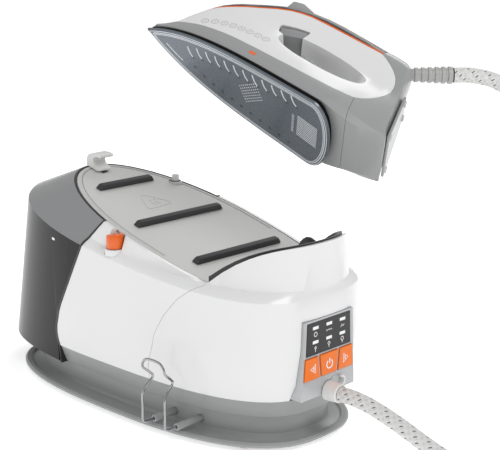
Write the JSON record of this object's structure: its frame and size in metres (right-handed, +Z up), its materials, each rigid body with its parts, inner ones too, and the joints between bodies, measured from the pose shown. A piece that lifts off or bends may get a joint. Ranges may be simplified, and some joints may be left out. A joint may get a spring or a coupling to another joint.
{
  "type": "steam generator iron",
  "caption": "Steam generator iron: a pressure base station with a sloping rest plate and water tank, and a hand iron on a braided steam hose.",
  "frame": {"origin": "on the floor, under the centre of the object's footprint without the hose", "axes": "+Z up, +X from the water tank towards the control panel, +Y towards the side opposite the orange steam knob"},
  "size_m": [0.7224, 0.375, 0.3866],
  "materials": {
    "white_plastic": "gloss white moulded plastic",
    "grey_plastic": "satin grey moulded plastic",
    "light_grey_plastic": "fine-grained warm grey plastic",
    "silver_plastic": "silver-painted plastic",
    "black_plastic": "satin black plastic",
    "black_rubber": "matt rubber",
    "smoked_plastic": "smoked glossy plastic",
    "orange_plastic": "gloss orange plastic",
    "soleplate": "blue-grey glazed coating with fine bright lines",
    "chrome_wire": "bright chromed wire",
    "steel": "plain sheet steel",
    "aluminium": "cast aluminium",
    "brass": "turned brass",
    "circuit_board": "green circuit board",
    "braided_hose": "white braid with short black dashes"
  },
  "bodies": {
    "base": {"base_pan": "grey_plastic", "foot_1": "black_rubber", "foot_2": "black_rubber", "foot_3": "black_rubber", "foot_4": "black_rubber", "side_housing": "white_plastic", "front_housing": "white_plastic", "rest_plate": "light_grey_plastic", "rest_ridge_1": "black_rubber", "rest_ridge_2": "black_rubber", "rest_ridge_3": "black_rubber", "heel_cup_liner": "black_plastic", "heel_guide": "black_plastic", "tank_gasket": "black_plastic", "nose_gasket": "black_plastic", "catch_button_boss": "light_grey_plastic", "knob_collar": "silver_plastic", "panel_bezel": "silver_plastic", "display_window": "black_plastic", "hose_gland": "white_plastic", "hose_eyelet": "white_plastic", "clip_socket_1": "grey_plastic", "clip_socket_2": "grey_plastic", "mains_gland": "black_plastic", "boiler": "steel", "boiler_heater": "steel", "boiler_thermostat": "aluminium", "steam_valve": "brass", "pump": "grey_plastic", "feed_pipe": "black_rubber", "steam_pipe": "black_rubber", "control_board": "circuit_board", "tank_valve": "black_plastic", "hose_base_run": "braided_hose", "hose_coil": "braided_hose", "hose_riser": "braided_hose"},
    "tank": {"water_tank": "smoked_plastic"},
    "nose_catch": {"nose_catch": "light_grey_plastic"},
    "catch_button": {"catch_button": "white_plastic"},
    "steam_knob": {"steam_knob": "orange_plastic"},
    "key_minus": {"button_minus": "orange_plastic"},
    "key_power": {"button_power": "orange_plastic"},
    "key_plus": {"button_plus": "orange_plastic"},
    "hose_clip": {"wire_clip": "chrome_wire"},
    "iron": {"soleplate": "soleplate", "heat_shield": "black_plastic", "heater_block": "aluminium", "lower_shell": "grey_plastic", "handle_shell": "white_plastic", "accent_strip": "orange_plastic", "handle_top_trim": "black_plastic", "rear_cover": "grey_plastic", "heel_rest": "light_grey_plastic", "cord_boot": "light_grey_plastic", "sole_thermostat": "brass", "iron_steam_pipe": "black_rubber"},
    "iron_dial": {"temperature_dial": "grey_plastic", "dial_shaft": "steel"},
    "iron_trigger": {"steam_trigger": "grey_plastic"},
    "iron_top_button": {"steam_button": "grey_plastic"}
  },
  "joints": [
    {"name": "iron_carry", "type": "hinge", "parent": "base", "child": "iron", "pos_m": [-0.0039, 0.09856, 0.2655], "axis": [0.8808, -0.0677, -0.4686], "range_deg": [0, 63.86]},
    {"name": "tank_slide", "type": "slide", "parent": "base", "child": "tank", "axis": [-1, 0, 0], "range_m": [0, 0.12]},
    {"name": "catch_slide", "type": "slide", "parent": "base", "child": "nose_catch", "axis": [0.9675, 0, -0.2529], "range_m": [0, 0.005]},
    {"name": "catch_button_press", "type": "slide", "parent": "base", "child": "catch_button", "axis": [0, 0, -1], "range_m": [0, 0.003], "stiffness_N_per_m": 300},
    {"name": "steam_knob_turn", "type": "hinge", "parent": "base", "child": "steam_knob", "pos_m": [0.0049, -0.11124, 0.16], "axis": [0, 0, 1], "range_deg": [0, 270]},
    {"name": "key_minus_press", "type": "slide", "parent": "base", "child": "key_minus", "axis": [-1, 0, 0], "range_m": [0, 0.001], "stiffness_N_per_m": 400},
    {"name": "key_power_press", "type": "slide", "parent": "base", "child": "key_power", "axis": [-1, 0, 0], "range_m": [0, 0.001], "stiffness_N_per_m": 400},
    {"name": "key_plus_press", "type": "slide", "parent": "base", "child": "key_plus", "axis": [-1, 0, 0], "range_m": [0, 0.001], "stiffness_N_per_m": 400},
    {"name": "hose_clip_slide", "type": "slide", "parent": "base", "child": "hose_clip", "axis": [0, -1, 0], "range_m": [0, 0.01]},
    {"name": "dial_turn", "type": "hinge", "parent": "iron", "child": "iron_dial", "pos_m": [0.11239, 0.03149, 0.31981], "axis": [0.0566, 0.8801, 0.4713], "range_deg": [0, 270]},
    {"name": "trigger_press", "type": "slide", "parent": "iron", "child": "iron_trigger", "axis": [0.0566, 0.8801, 0.4713], "range_m": [0, 0.002], "stiffness_N_per_m": 600},
    {"name": "top_button_press", "type": "slide", "parent": "iron", "child": "iron_top_button", "axis": [-0.0566, -0.8801, -0.4713], "range_m": [0, 0.003], "stiffness_N_per_m": 400}
  ]
}
